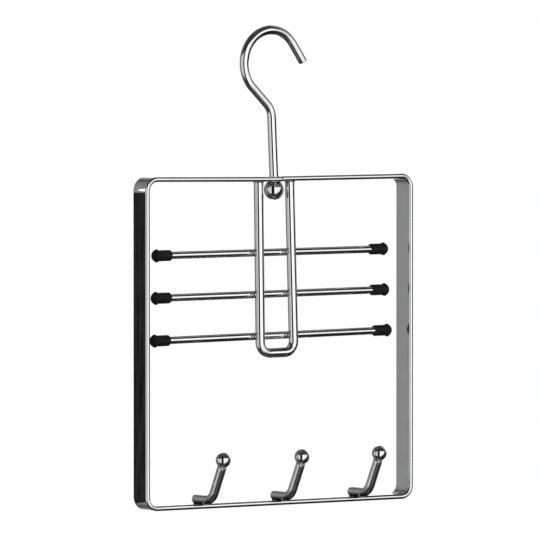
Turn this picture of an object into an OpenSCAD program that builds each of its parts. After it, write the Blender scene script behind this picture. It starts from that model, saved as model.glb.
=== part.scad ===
// Scarf hanger: a square ring of flat steel strip that hangs from a swivel hook.
// A wire loop inside the ring carries three cross bars with soft end caps,
// and three small ball-ended hooks stand on the bottom of the ring.
// X runs to the right, Y to the rear and Z up. The origin is the rail's seat,
// at the top of the inside of the swivel hook.

/* [Strip ring] */
// Outside width of the ring
frame_w = 216; // [180:1:260]
// Outside height of the ring
frame_h = 216; // [180:1:260]
// Width of the strip, front to back
strip_w = 16; // [13:0.5:22]
// Thickness of the strip
strip_t = 3.2; // [2.8:0.1:4]
// Outside radius of the ring's bends
corner_r = 9; // [8:0.5:16]
// Place of the butt seam, to the right of the ring's middle
seam_x = 1; // [-3:0.5:3]
// How far the left end of the strip sags at the seam
seam_drop = 1; // [0.4:0.1:2]
// Step from the left end of the strip up to the right end
seam_step = 0.4; // [0:0.1:0.4]
// Width of the hairline groove that is left at the seam
seam_groove_w = 0.4; // [0.2:0.1:0.6]
// Depth of the hairline groove
seam_groove_depth = 0.15; // [0.1:0.05:0.3]

/* [Swivel hook] */
// Diameter of the hook's wire
hook_wire_d = 6; // [5:0.1:7]
// Inside diameter of the hook, which the rail goes through
hook_inside_d = 37.4; // [32:0.1:45]
// Slope of the straight neck and of the way into the hook, from upright
neck_angle = 46.5; // [40:0.5:55]
// Length of the straight neck
neck_l = 16; // [10:0.5:25]
// Bend radius of the wire's centre line between stem and neck
neck_r = 12; // [8:0.5:20]
// Lean of the stem, which brings the hook over the load
stem_lean = 2.7; // [0.5:0.1:5]
// Length of the leaning stem
stem_l = 37.6; // [25:0.1:60]
// Upright length of the stem that stays above the ring
stem_rise = 1.3; // [0.5:0.1:5]
// Slope of the straight tip, from level
tip_angle = 35; // [20:1:50]
// Length of the straight tip
tip_l = 14; // [8:0.5:20]
// Place of the stem's hole, to the right of the ring's middle
hole_x = -1; // [-3:0.5:3]
// Gap all round between the stem and its hole
stem_clearance = 0.08; // [0.02:0.01:0.1]
// Diameter of the ball that keeps the hook in the ring
stop_ball_d = 13.2; // [12:0.1:15]
// How far the ball goes into the dish under the ring
stop_ball_sink = 1.2; // [0.8:0.1:1.6]
// Gap between the ball and its dish
dish_clearance = 0.3; // [0.2:0.05:0.5]
// How far the stem goes past the middle of the ball
stem_past_ball = 2; // [0:0.5:3]

/* [Wire loop] */
// Place of the loop's middle, to the right of the ring's middle
loop_x = -0.8; // [-3:0.1:3]
// Diameter of the loop's wire
loop_wire_d = 6.3; // [5.5:0.1:7]
// Distance between the legs' centre lines at the ring
loop_top_w = 25.1; // [24:0.1:32]
// Distance between the legs' centre lines at the bottom bends
loop_bottom_w = 26.9; // [26:0.1:34]
// Height of the loop's centre line, from the ring to its bottom
loop_l = 112.1; // [108:0.1:118]
// Bend radius of the loop's centre line at its two bottom corners
loop_corner_r = 7.3; // [6:0.1:10]
// Turn of the loop in the plane of the ring
loop_turn = 0.6; // [0:0.1:2]
// Tip of the loop towards the front
loop_tip = 0.9; // [0:0.1:2]
// Height and breadth of the weld fillet round the top of each leg
leg_fillet = 0.5; // [0.3:0.1:1.5]

/* [Cross bars] */
// Diameter of the bars' wire
bar_d = 4.8; // [4:0.1:5.5]
// Gap from the top bar's caps to the sides of the ring
top_cap_gap = 9.85; // [4:0.05:30]
// Gap from the middle bar's caps to the sides of the ring
middle_cap_gap = 9.1; // [4:0.05:30]
// Gap from the bottom bar's caps to the sides of the ring
bottom_cap_gap = 7.6; // [4:0.05:30]
// Gap from the bottom bar down to the bends of the loop
bar_over_bend = 1.4; // [0.5:0.1:12]
// Distance from bar to bar
bar_pitch = 27.3; // [22:0.1:28]
// How far the top bar sits to the right on the loop
top_bar_shift = 0.4; // [-1:0.1:1]
// How far the middle bar sits to the right on the loop
middle_bar_shift = 0; // [-1:0.1:1]
// How far the bottom bar sits to the right on the loop
bottom_bar_shift = 0; // [-1:0.1:1]
// Rise of the top bar to the right, from square to the loop
top_bar_turn = -0.2; // [-1:0.05:1]
// Rise of the middle bar to the right, from square to the loop
middle_bar_turn = -0.05; // [-1:0.05:1]
// Rise of the bottom bar to the right, from square to the loop
bottom_bar_turn = 0.15; // [-1:0.05:1]
// How far a bar is forged into the legs at its welds
weld_sink = 0.3; // [0.1:0.1:0.6]
// Radius of the squeezed-out bead at each crossing weld
weld_bead_r = 2.4; // [1.8:0.1:2.8]

/* [End caps] */
// Outside diameter of a cap
cap_d = 7.2; // [6.8:0.1:8.5]
// Length of a cap from its open end to its dome
cap_l = 11; // [8:0.5:15]
// Height of the dome
cap_dome_h = 3.2; // [2.5:0.1:4]
// How far the rim of the dome stands proud of the cap
cap_rim = 0.55; // [0.3:0.05:0.8]
// Radius of the mould bead round the rim
cap_bead_r = 0.3; // [0.15:0.05:0.4]
// Chamfer at the cap's open end
cap_chamfer = 1; // [0.5:0.1:1]
// Length of the cap beyond the end of the wire, without the dome
cap_floor = 0.5; // [0.2:0.1:2]
// Gap all round between a bar and the socket of its cap
cap_clearance = 0.01; // [0:0.01:0.05]

/* [Small hooks] */
// Diameter of the small hooks' wire
small_wire_d = 6.1; // [5:0.1:7]
// Distance from one small hook to the next
small_hook_pitch = 63; // [50:1:75]
// Distance of the foot's rear end behind the middle of the strip
foot_rear = 2.2; // [0:0.1:4]
// Distance from the middle of the strip to where foot and arm would meet
foot_reach = 17.2; // [16:0.1:22]
// Forward lean of the arm, from upright
arm_lean = 27; // [15:1:40]
// Bend radius of the wire's centre line between foot and arm
foot_bend_r = 10; // [7:0.5:12]
// Length of the arm, measured from where foot and arm would meet
arm_l = 25; // [18:0.5:35]
// Rounding of the foot's rear end
foot_end_r = 1.6; // [0.5:0.1:2]
// Diameter of the ball on the arm
tip_ball_d = 9.8; // [8:0.1:12]
// How far the arm's end goes into the ball
tip_ball_sink = 0.3; // [0.2:0.1:0.8]
// How far the ball sits off the arm's centre line, to the rear
tip_ball_offset = 0.9; // [0:0.1:1.2]
// How far the foot is forged into the strip
foot_sink = 0.2; // [0.1:0.1:0.4]
// Radius of the weld bead under the foot
foot_bead_r = 2.6; // [2:0.1:3]
// Length of the weld bead under the foot
foot_bead_l = 8; // [6.5:0.5:9]
// Distance of the bead's middle in front of the middle of the strip
foot_bead_y = 2.4; // [1.5:0.1:3]

/* [Hidden] */
$fn = 64;

// Cuts run past the faces that they go through by this much
past = 1;
// A bend is this much thinner all round, so a straight length can run a hair into it
bend_thin = 0.04;
run_in = 0.2;
hook_r = (hook_inside_d + hook_wire_d) / 2;

// Key points of the hook in X and Z, from the seat down to the ring
hook_centre = [0, -hook_inside_d / 2];
neck_top = hook_centre - hook_r * [cos(neck_angle), sin(neck_angle)];
neck_foot = neck_top + neck_l * [sin(neck_angle), -cos(neck_angle)];
neck_centre = neck_foot - neck_r * [cos(neck_angle), sin(neck_angle)];
stem_top = neck_centre + neck_r * [cos(stem_lean), sin(stem_lean)];
stem_foot = stem_top + stem_l * [sin(stem_lean), -cos(stem_lean)];
lean_centre = stem_foot - neck_r * [cos(stem_lean), sin(stem_lean)];
stem_x = lean_centre[0] + neck_r;
hole_top_z = lean_centre[1] - stem_rise;

// The ring hangs where the stem goes through its top
frame_x = stem_x - hole_x;
left_run = frame_w / 2 - corner_r + seam_x;
right_run = frame_w / 2 - corner_r - seam_x;
left_fall = atan(seam_drop / left_run);
right_fall = atan((seam_drop - seam_step) / right_run);
ring_top_z = hole_top_z + (left_run - seam_x + hole_x) * tan(left_fall);
ring_bottom_z = ring_top_z - frame_h;
hole_under_z = hole_top_z - strip_t;
shelf_z = ring_bottom_z + strip_t;

// The ball and the end of the stem inside it
ball_z = hole_under_z - stop_ball_d / 2 + stop_ball_sink;
stem_end_z = ball_z - stem_past_ball;

// The loop's own frame: its origin is where its middle meets the ring
leg_splay = atan((loop_bottom_w - loop_top_w) / 2 / (loop_l - loop_corner_r));
loop_bend_turn = 90 + leg_splay;
bend_centre_x = loop_bottom_w / 2 - loop_corner_r;
bend_centre_z = loop_corner_r - loop_l;
bend_top = [bend_centre_x + loop_corner_r * cos(leg_splay), bend_centre_z + loop_corner_r * sin(leg_splay)];
leg_l = (-bend_top[1] + past) / cos(leg_splay);
bar_y = (loop_wire_d + bar_d) / 2 - weld_sink;

// Small hooks
foot_z = shelf_z + small_wire_d / 2 - foot_sink;
foot_turn = 90 - arm_lean;
foot_tangent = foot_bend_r * tan(foot_turn / 2);
arm_dir = [0, -sin(arm_lean), cos(arm_lean)];
arm_rear = [0, cos(arm_lean), sin(arm_lean)];
foot_corner = [0, -foot_reach, 0];
arm_end = foot_corner + arm_l * arm_dir;
tip_ball_along = tip_ball_d / 2 - tip_ball_sink;
tip_ball_at = arm_end + tip_ball_along * arm_dir + tip_ball_offset * arm_rear;

function bar_depth(i) = loop_l - loop_corner_r - bar_over_bend - bar_d / 2 - (2 - i) * bar_pitch;
function cap_gap(i) = [top_cap_gap, middle_cap_gap, bottom_cap_gap][i];
function bar_length(i) = frame_w - 2 * (strip_t + cap_gap(i) + cap_dome_h + cap_floor);
function bar_shift(i) = [top_bar_shift, middle_bar_shift, bottom_bar_shift][i];
function bar_turn(i) = [top_bar_turn, middle_bar_turn, bottom_bar_turn][i];
function leg_half_w(depth) = loop_bottom_w / 2 - (-bend_top[1] - depth) * tan(leg_splay)
    - loop_corner_r * (1 - cos(leg_splay));
function small_hook_x(i) = frame_x + (i - 1) * small_hook_pitch;

// A straight length of round wire between two points, longer by lead and tail
module rod(from, to, d, lead = 0, tail = 0) {
    v = to - from;
    translate(from)
        rotate([0, acos(v[2] / norm(v)), atan2(v[1], v[0])])
            translate([0, 0, -lead])
                cylinder(h = norm(v) + lead + tail, d = d);
}

// A bend of round wire about the Z axis, which starts at +X
module round_bend(r, turn, d) {
    rotate_extrude(angle = turn)
        translate([r, 0])
            circle(d = d - 2 * bend_thin);
}

// A round bend in the X-Z plane; angles run from +X towards +Z
module wire_bend(centre, r, from, to, d) {
    translate([centre[0], 0, centre[1]])
        rotate([90, 0, 0])
            rotate([0, 0, from])
                round_bend(r, to - from, d);
}

// Section of the strip, thickness along X and width along Y, with round edges
module strip_section(grow = 0) {
    t = strip_t + grow;
    flat_w = strip_w - strip_t;
    square([t, flat_w], center = true);
    for (side = [-1, 1])
        translate([0, side * flat_w / 2])
            circle(d = t);
}

// A bend of the strip round a centre in the X-Z plane
module strip_bend(centre, from, to) {
    translate([centre[0], 0, centre[1]])
        rotate([90, 0, 0])
            rotate([0, 0, from])
                rotate_extrude(angle = to - from)
                    translate([corner_r - strip_t / 2, 0])
                        strip_section(-2 * bend_thin);
}

// A straight run of the strip; its start is a point of the middle of the section
module strip_run(start, heading, l) {
    translate([start[0], 0, start[1]])
        rotate([0, heading, 0])
            translate([0, 0, -run_in])
                linear_extrude(l + 2 * run_in)
                    strip_section();
}

// The left (side -1) or right (side 1) half of the ring's top, from its bend to the seam
module strip_half(side, run, fall) {
    mid_r = corner_r - strip_t / 2;
    x = frame_x + side * (frame_w / 2 - corner_r);
    z = ring_top_z - corner_r;
    if (side < 0)
        strip_bend([x, z], 90 - fall, 180);
    else
        strip_bend([x, z], 0, 90 + fall);
    strip_run(
        [x - side * mid_r * sin(fall), z + mid_r * cos(fall)],
        -side * (90 + fall),
        (run - mid_r * sin(fall)) / cos(fall)
    );
}

module strip_top() {
    strip_half(-1, left_run, left_fall);
    strip_half(1, right_run, right_fall);
}

// The flat bottom of the ring
module strip_floor() {
    strip_run(
        [frame_x - frame_w / 2 + corner_r, ring_bottom_z + strip_t / 2],
        90,
        frame_w - 2 * corner_r
    );
}

// The sides and the bottom of the ring
module strip_sides() {
    side_l = frame_h - 2 * corner_r;
    low_z = ring_bottom_z + corner_r;
    half_w = (frame_w - strip_t) / 2;
    for (side = [-1, 1])
        strip_run([frame_x + side * half_w, low_z], 0, side_l);
    strip_bend([frame_x - frame_w / 2 + corner_r, low_z], 180, 270);
    strip_bend([frame_x + frame_w / 2 - corner_r, low_z], 270, 360);
    strip_floor();
}

// A hairline groove all round the strip at the seam
module seam_groove() {
    seam_z = ring_top_z - seam_drop - strip_t / 2 + seam_step / 2;
    translate([frame_x + seam_x, 0, seam_z])
        rotate([0, 90, 0])
            difference() {
                cube([2 * strip_t, 2 * strip_w, seam_groove_w], center = true);
                linear_extrude(2 * seam_groove_w, center = true)
                    strip_section(-seam_step - 2 * seam_groove_depth);
            }
}

module frame_strip() {
    color([0.78, 0.79, 0.8])
        difference() {
            union() {
                strip_top();
                strip_sides();
            }
            translate([stem_x, 0, hole_under_z - past])
                cylinder(h = strip_t + 2 * past, d = hook_wire_d + 2 * stem_clearance);
            translate([stem_x, 0, ball_z])
                sphere(d = stop_ball_d + 2 * dish_clearance);
            seam_groove();
        }
}

// Places what hangs on the loop, from the loop's own frame
module on_loop() {
    translate([frame_x + loop_x, 0, hole_under_z])
        rotate([-loop_tip, -loop_turn, 0])
            children();
}

// The whole loop, whose legs start a little above the ring's underside
module loop_solid() {
    mid_z = -loop_l;
    for (side = [-1, 1]) {
        top = [side * (bend_top[0] - leg_l * sin(leg_splay)), 0, bend_top[1] + leg_l * cos(leg_splay)];
        rod([side * bend_top[0], 0, bend_top[1]], top, loop_wire_d, lead = run_in);
    }
    wire_bend([-bend_centre_x, bend_centre_z], loop_corner_r, 180 - leg_splay, 270, loop_wire_d);
    wire_bend([bend_centre_x, bend_centre_z], loop_corner_r, 270, 360 + leg_splay, loop_wire_d);
    rod([-bend_centre_x, 0, mid_z], [bend_centre_x, 0, mid_z], loop_wire_d, lead = run_in, tail = run_in);
}

module loop_wire() {
    color([0.8, 0.81, 0.82])
        difference() {
            on_loop()
                loop_solid();
            strip_top();
        }
}

// A weld fillet round the top of each leg
module loop_welds() {
    color([0.62, 0.63, 0.65])
        difference() {
            on_loop()
                for (side = [-1, 1])
                    translate([side * leg_half_w(0), 0, -leg_fillet - past / 2])
                        cylinder(
                            h = leg_fillet + past,
                            r1 = loop_wire_d / 2 - past / 2,
                            r2 = loop_wire_d / 2 + leg_fillet + past / 2
                        );
            on_loop()
                loop_solid();
            strip_top();
        }
}

// Places what belongs to a bar, with the bar's middle at the origin and its wire along X
module on_bar(i) {
    translate([0, bar_y, -bar_depth(i)])
        rotate([0, -bar_turn(i), 0])
            translate([bar_shift(i), 0, 0])
                children();
}

module bar_solid(i) {
    half = bar_length(i) / 2;
    on_bar(i)
        rod([-half, 0, 0], [half, 0, 0], bar_d);
}

// A cross bar, forged into the rear of both legs
module cross_bar(i) {
    color([0.8, 0.81, 0.82])
        on_loop()
            difference() {
                bar_solid(i);
                loop_solid();
            }
}

// The beads squeezed out where a bar crosses the legs
module bar_welds(i) {
    color([0.62, 0.63, 0.65])
        on_loop()
            difference() {
                for (side = [-1, 1])
                    translate([side * leg_half_w(bar_depth(i)), loop_wire_d / 2 - weld_sink / 2, -bar_depth(i)])
                        sphere(r = weld_bead_r);
                bar_solid(i);
                loop_solid();
            }
}

// A soft cap on the right (side 1) or left (side -1) end of a bar
module end_cap(i, side) {
    rim_r = cap_d / 2 + cap_rim;
    dome_r = (rim_r * rim_r + cap_dome_h * cap_dome_h) / (2 * cap_dome_h);
    rim_x = bar_length(i) / 2 + cap_floor;
    color([0.08, 0.08, 0.085])
        on_loop()
            on_bar(i)
                rotate([0, 90 * side, 0])
                    translate([0, 0, rim_x])
                        difference() {
                            union() {
                                translate([0, 0, cap_chamfer - cap_l])
                                    cylinder(h = cap_l - cap_chamfer, d = cap_d);
                                translate([0, 0, -cap_l])
                                    cylinder(h = cap_chamfer, d1 = cap_d - 2 * cap_chamfer, d2 = cap_d);
                                intersection() {
                                    translate([0, 0, cap_dome_h - dome_r])
                                        sphere(r = dome_r);
                                    cylinder(h = 2 * dome_r, r = rim_r + past);
                                }
                                rotate_extrude()
                                    translate([rim_r - cap_bead_r / 2, 0])
                                        circle(r = cap_bead_r);
                            }
                            translate([0, 0, -cap_l - past])
                                cylinder(h = cap_l + past - cap_floor, d = bar_d + 2 * cap_clearance);
                        }
}

module swivel_hook() {
    tip = hook_centre + hook_r * [cos(tip_angle), sin(tip_angle)];
    tip_end = tip + tip_l * [sin(tip_angle), -cos(tip_angle)];
    color([0.8, 0.81, 0.82]) {
        rod([tip_end[0], 0, tip_end[1]], [tip[0], 0, tip[1]], hook_wire_d, tail = run_in);
        wire_bend(hook_centre, hook_r, tip_angle, 180 + neck_angle, hook_wire_d);
        hook_straight(neck_top, neck_foot);
        wire_bend(neck_centre, neck_r, stem_lean, neck_angle, hook_wire_d);
        hook_straight(stem_top, stem_foot);
        wire_bend(lean_centre, neck_r, 0, stem_lean, hook_wire_d);
        translate([stem_x, 0, stem_end_z])
            cylinder(h = lean_centre[1] + run_in - stem_end_z, d = hook_wire_d);
    }
}

// A straight length of the hook between two bends
module hook_straight(from, to) {
    rod([from[0], 0, from[1]], [to[0], 0, to[1]], hook_wire_d, lead = run_in, tail = run_in);
}

module stop_ball() {
    color([0.8, 0.81, 0.82])
        difference() {
            translate([stem_x, 0, ball_z])
                sphere(d = stop_ball_d);
            translate([stem_x, 0, stem_end_z])
                cylinder(h = stop_ball_d, d = hook_wire_d);
        }
}

// The whole wire of a small hook, in a frame at the foot's centre line
module small_hook_solid() {
    bend_y = foot_tangent - foot_reach;
    translate([0, bend_y - run_in, 0])
        rotate([-90, 0, 0])
            rounded_rod(foot_rear - bend_y + run_in);
    translate([0, bend_y, foot_bend_r])
        rotate([90, 0, -90])
            rotate([0, 0, -90])
                round_bend(foot_bend_r, foot_turn, small_wire_d);
    rod(foot_corner + foot_tangent * arm_dir, arm_end, small_wire_d, lead = run_in);
}

// The foot's wire along Z, rounded at its far end
module rounded_rod(l) {
    r = small_wire_d / 2;
    rotate_extrude() {
        square([r, l - foot_end_r]);
        square([r - foot_end_r, l]);
        translate([r - foot_end_r, l - foot_end_r])
            intersection() {
                circle(r = foot_end_r);
                square(foot_end_r);
            }
    }
}

module at_small_hook(i) {
    translate([small_hook_x(i), 0, foot_z])
        children();
}

// The wire sits on the strip and carries its ball in a shallow dish
module small_hook_wire(i) {
    color([0.8, 0.81, 0.82])
        difference() {
            at_small_hook(i)
                small_hook_solid();
            strip_floor();
            at_small_hook(i)
                translate(tip_ball_at)
                    sphere(d = tip_ball_d);
        }
}

module small_hook_ball(i) {
    color([0.8, 0.81, 0.82])
        at_small_hook(i)
            translate(tip_ball_at)
                sphere(d = tip_ball_d);
}

// The weld bead between the foot and the strip
module small_hook_weld(i) {
    reach = foot_bead_l / 2 - foot_bead_r;
    color([0.3, 0.3, 0.31])
        difference() {
            translate([small_hook_x(i), -foot_bead_y, shelf_z]) {
                rod([0, -reach, 0], [0, reach, 0], 2 * foot_bead_r);
                for (side = [-1, 1])
                    translate([0, side * reach, 0])
                        sphere(r = foot_bead_r);
            }
            at_small_hook(i)
                small_hook_solid();
            translate([small_hook_x(i) - strip_w, -strip_w, shelf_z - 2 * foot_bead_r])
                cube([2 * strip_w, 2 * strip_w, 2 * foot_bead_r]);
        }
}

frame_strip();
loop_wire();
loop_welds();
swivel_hook();
stop_ball();
cross_bar(0);  // top_bar
cross_bar(1);  // middle_bar
cross_bar(2);  // bottom_bar
bar_welds(0);  // top_bar_welds
bar_welds(1);  // middle_bar_welds
bar_welds(2);  // bottom_bar_welds
end_cap(0, -1);  // top_left_cap
end_cap(0, 1);  // top_right_cap
end_cap(1, -1);  // middle_left_cap
end_cap(1, 1);  // middle_right_cap
end_cap(2, -1);  // bottom_left_cap
end_cap(2, 1);  // bottom_right_cap
small_hook_wire(0);  // left_hook_wire
small_hook_wire(1);  // middle_hook_wire
small_hook_wire(2);  // right_hook_wire
small_hook_ball(0);  // left_hook_ball
small_hook_ball(1);  // middle_hook_ball
small_hook_ball(2);  // right_hook_ball
small_hook_weld(0);  // left_hook_weld
small_hook_weld(1);  // middle_hook_weld
small_hook_weld(2);  // right_hook_weld
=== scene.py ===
import math

import bpy
import numpy as np
from mathutils import Matrix, Vector


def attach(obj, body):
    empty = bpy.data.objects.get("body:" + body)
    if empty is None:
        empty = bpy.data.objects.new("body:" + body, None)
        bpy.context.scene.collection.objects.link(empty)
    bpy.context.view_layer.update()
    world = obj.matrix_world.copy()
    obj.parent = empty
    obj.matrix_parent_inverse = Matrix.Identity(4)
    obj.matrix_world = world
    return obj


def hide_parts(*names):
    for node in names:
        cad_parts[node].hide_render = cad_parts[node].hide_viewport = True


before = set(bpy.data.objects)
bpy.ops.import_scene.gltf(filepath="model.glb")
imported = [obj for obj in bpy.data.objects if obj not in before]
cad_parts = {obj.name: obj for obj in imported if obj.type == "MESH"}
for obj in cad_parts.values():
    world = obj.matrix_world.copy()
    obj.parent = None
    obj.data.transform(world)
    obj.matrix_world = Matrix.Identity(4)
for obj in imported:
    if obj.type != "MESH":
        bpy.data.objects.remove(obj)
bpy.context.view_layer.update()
print("frame loaded")

millimetre = 0.001
sharpAngle = math.radians(38)   # faces that meet at more than this keep a sharp edge
scene = bpy.context.scene


# the camera stands where the photo was taken
cameraLook = {
    "place": (-2.552979, -3.525541, -0.005458),  # metres
    "aside": 35.9,   # degrees to the left of the hanger's front
    "down": 1.956,   # degrees below level
    "lens": 443.35,
    "sensor": 36.0,
}


def addCamera(look):
    # the view direction turns by "aside" from the Y axis and then down
    aside, down = math.radians(look["aside"]), math.radians(look["down"])
    ahead = Vector((math.sin(aside) * math.cos(down), math.cos(aside) * math.cos(down), -math.sin(down)))
    right = Vector((math.cos(aside), -math.sin(aside), 0.0))
    up = right.cross(ahead)
    data = bpy.data.cameras.new("photoCamera")
    data.lens = look["lens"]
    data.sensor_width = look["sensor"]
    data.clip_start = 0.1
    data.clip_end = 200.0
    camera = bpy.data.objects.new("photoCamera", data)
    scene.collection.objects.link(camera)
    rows = [[right[i], up[i], -ahead[i], look["place"][i]] for i in range(3)]
    camera.matrix_world = Matrix(rows + [[0, 0, 0, 1]])
    scene.camera = camera
    return ahead, right


ahead, aside = addCamera(cameraLook)
scene.view_settings.view_transform = "Standard"
print("camera set")


def circleAngles(sides):
    # equal steps of a full turn over the number of sides
    return np.arange(sides) * (2 * math.pi / sides)


def gridFaces(rows, sides, startPole, stopPole):
    # quads between neighbouring rings, and a fan from each pole; rings run round without a seam
    first = np.arange(rows - 1)[:, None] * sides
    here = np.arange(sides)[None, :]
    after = (here + 1) % sides
    quads = np.stack([first + here, first + after, first + sides + after, first + sides + here], axis=-1)
    faces = quads.reshape(-1, 4).tolist()
    spot = np.arange(sides)
    if startPole is not None:
        faces += np.stack([np.full(sides, startPole), (spot + 1) % sides, spot], axis=-1).tolist()
    if stopPole is not None:
        last = (rows - 1) * sides + spot
        lastAfter = (rows - 1) * sides + (spot + 1) % sides
        faces += np.stack([np.full(sides, stopPole), last, lastAfter], axis=-1).tolist()
    return faces


def signedVolume(points, faces):
    # a sixth of the sum of the triple products of every face's fan of triangles
    quads = np.array([f for f in faces if len(f) == 4]).reshape(-1, 4)
    fans = np.array([f for f in faces if len(f) == 3]).reshape(-1, 3)
    corners = np.concatenate([quads[:, :3], quads[:, [0, 2, 3]], fans]).astype(int)
    a, b, c = points[corners[:, 0]], points[corners[:, 1]], points[corners[:, 2]]
    return float(np.einsum("ij,ij->i", a, np.cross(b, c)).sum() / 6)


def closedRings(rings, along):
    # rings: rows x sides x 3, closed at both ends by a pole in the middle of the end ring
    rows, sides = rings.shape[:2]
    poles = np.stack([rings[0].mean(0), rings[-1].mean(0)])
    points = np.concatenate([rings.reshape(-1, 3), poles])
    poleAlong = np.stack([along[0].mean(0), along[-1].mean(0)])
    along = np.concatenate([along.reshape(-1, 3), poleAlong])
    return points, gridFaces(rows, sides, rows * sides, rows * sides + 1), along


def mergedShells(shells):
    # several closed shells in one mesh
    points, faces, along, base = [], [], [], 0
    for p, f, a in shells:
        points.append(p)
        along.append(a)
        faces += [[i + base for i in face] for face in f]
        base += len(p)
    return np.concatenate(points), faces, np.concatenate(along)


def makePiece(name, shells, body, nodes, finish):
    # one smooth mesh of closed shells at the origin, in metres, that stands in for its solids
    points, faces, along = mergedShells(shells)
    if signedVolume(points, faces) < 0:
        faces = [face[::-1] for face in faces]
    mesh = bpy.data.meshes.new(name)
    mesh.from_pydata((points * millimetre).tolist(), [], faces)
    mesh.polygons.foreach_set("use_smooth", np.ones(len(faces), bool))
    note = mesh.attributes.new("along", "FLOAT_VECTOR", "POINT")
    note.data.foreach_set("vector", (along * millimetre).astype(np.float32).ravel())
    mesh.set_sharp_from_angle(angle=sharpAngle)
    mesh.materials.append(finish)
    mesh.update()
    piece = bpy.data.objects.new(name, mesh)
    scene.collection.objects.link(piece)
    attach(piece, body)
    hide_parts(*nodes)
    return piece


def moved(points, tip=0.0, turn=0.0, shift=(0.0, 0.0, 0.0)):
    # turns about X by tip, then about Y by turn, then shifts; degrees and millimetres
    a, b = math.radians(tip), math.radians(turn)
    aboutX = np.array([[1, 0, 0], [0, math.cos(a), -math.sin(a)], [0, math.sin(a), math.cos(a)]])
    aboutY = np.array([[math.cos(b), 0, math.sin(b)], [0, 1, 0], [-math.sin(b), 0, math.cos(b)]])
    return points @ (aboutY @ aboutX).T + np.array(shift)


def linePart(start, stop, step=2.0):
    # evenly spaced points of a straight length with its heading
    start, stop = np.array(start, float), np.array(stop, float)
    length = np.linalg.norm(stop - start)
    count = max(2, int(length / step) + 1)
    t = np.linspace(0, 1, count)[:, None]
    return start + (stop - start) * t, np.repeat(((stop - start) / length)[None, :], count, axis=0)


def arcPart(centre, radius, fromAngle, toAngle, step=2.0):
    # points at centre + radius * (cos, sin) of an angle that runs evenly from one to the other
    count = max(3, int(abs(toAngle - fromAngle) / step) + 1)
    t = np.radians(np.linspace(fromAngle, toAngle, count))
    way = 1 if toAngle > fromAngle else -1
    points = np.array(centre, float) + radius * np.stack([np.cos(t), np.sin(t)], axis=-1)
    return points, way * np.stack([-np.sin(t), np.cos(t)], axis=-1)


def joinedRun(parts):
    # one run from its parts, with the doubled joints dropped, and the length up to each point
    points = np.concatenate([p for p, _ in parts])
    heading = np.concatenate([h for _, h in parts])
    gap = np.linalg.norm(np.diff(points, axis=0), axis=1)
    keep = np.concatenate([[True], gap > 1e-4])
    points, heading = points[keep], heading[keep]
    length = np.concatenate([[0], np.cumsum(np.linalg.norm(np.diff(points, axis=0), axis=1))])
    return points, heading, length


def roundedEnds(points, heading, length, startRound, stopRound, steps=8):
    # end rows stand on a quarter circle: distance in = e - e cos b, and the section shrinks by e - e sin b
    b = np.linspace(0, math.pi / 2, steps)
    inside = (length > startRound + 0.05) & (length < length[-1] - stopRound - 0.05)
    startIn, stopIn = startRound * (1 - np.cos(b)), stopRound * (1 - np.cos(b))[::-1]
    startLess, stopLess = startRound * (1 - np.sin(b)), stopRound * (1 - np.sin(b))[::-1]
    rows = np.concatenate([
        points[0] + startIn[:, None] * heading[0],
        points[inside],
        points[-1] - stopIn[:, None] * heading[-1],
    ])
    first, last = (np.repeat(end, steps, 0) for end in (heading[:1], heading[-1:]))
    ways = np.concatenate([first, heading[inside], last])
    far = np.concatenate([startIn, length[inside], length[-1] - stopIn])
    less = np.concatenate([startLess, np.zeros(int(inside.sum())), stopLess])
    return rows, ways, far, less


def planeRun(rows, ways, plane):
    # lifts a run in a plane to space; "out" is its heading turned a quarter, "side" is square to the plane
    u, w = np.array(plane[0], float), np.array(plane[1], float)
    centres = rows[:, :1] * u + rows[:, 1:] * w
    out = -ways[:, 1:] * u + ways[:, :1] * w
    side = np.repeat(np.cross(u, w)[None, :], len(rows), axis=0)
    return centres, out, side


def roundWire(parts, wireR, plane, startRound=0.3, stopRound=0.3, sides=64):
    # point = centre line + radius * (cos a * out + sin a * side), with rounded closed ends
    rows, ways, far, less = roundedEnds(*joinedRun(parts), startRound, stopRound)
    centres, out, side = planeRun(rows, ways, plane)
    a = circleAngles(sides)[None, :, None]
    radius = (wireR - less)[:, None, None]
    rings = centres[:, None] + radius * (np.cos(a) * out[:, None] + np.sin(a) * side[:, None])
    flat = np.broadcast_to(a[..., 0], (len(far), sides))
    farAll = np.broadcast_to(far[:, None], flat.shape)
    along = np.stack([wireR * np.cos(flat), wireR * np.sin(flat), farAll], -1)
    return closedRings(rings, along)


def revolved(profile, wobble=None, sides=64):
    # a profile of (height, radius) rows turned about the Z axis; wobble adds to the radius, rows x sides
    a = circleAngles(sides)[None, :]
    height, radius = profile[:, :1], profile[:, 1:]
    if wobble is not None:
        radius = radius + wobble(height, a)
    rings = np.stack([radius * np.cos(a), radius * np.sin(a), height + 0 * a], axis=-1)
    far = np.concatenate([[0], np.cumsum(np.linalg.norm(np.diff(profile, axis=0), axis=1))])
    big = profile[:, 1].max()
    farAll = far[:, None] + 0 * a
    along = np.stack([big * np.cos(a) + 0 * height, big * np.sin(a) + 0 * height, farAll], axis=-1)
    return closedRings(rings, along)


def shifted(shell, move):
    # the same shell with its points moved
    points, faces, along = shell
    return move(points), faces, along


alongX = ((1, 0, 0), (0, 0, 1))   # runs in the ring's own plane
alongY = ((0, 1, 0), (0, 0, 1))   # runs from rear to front


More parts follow.
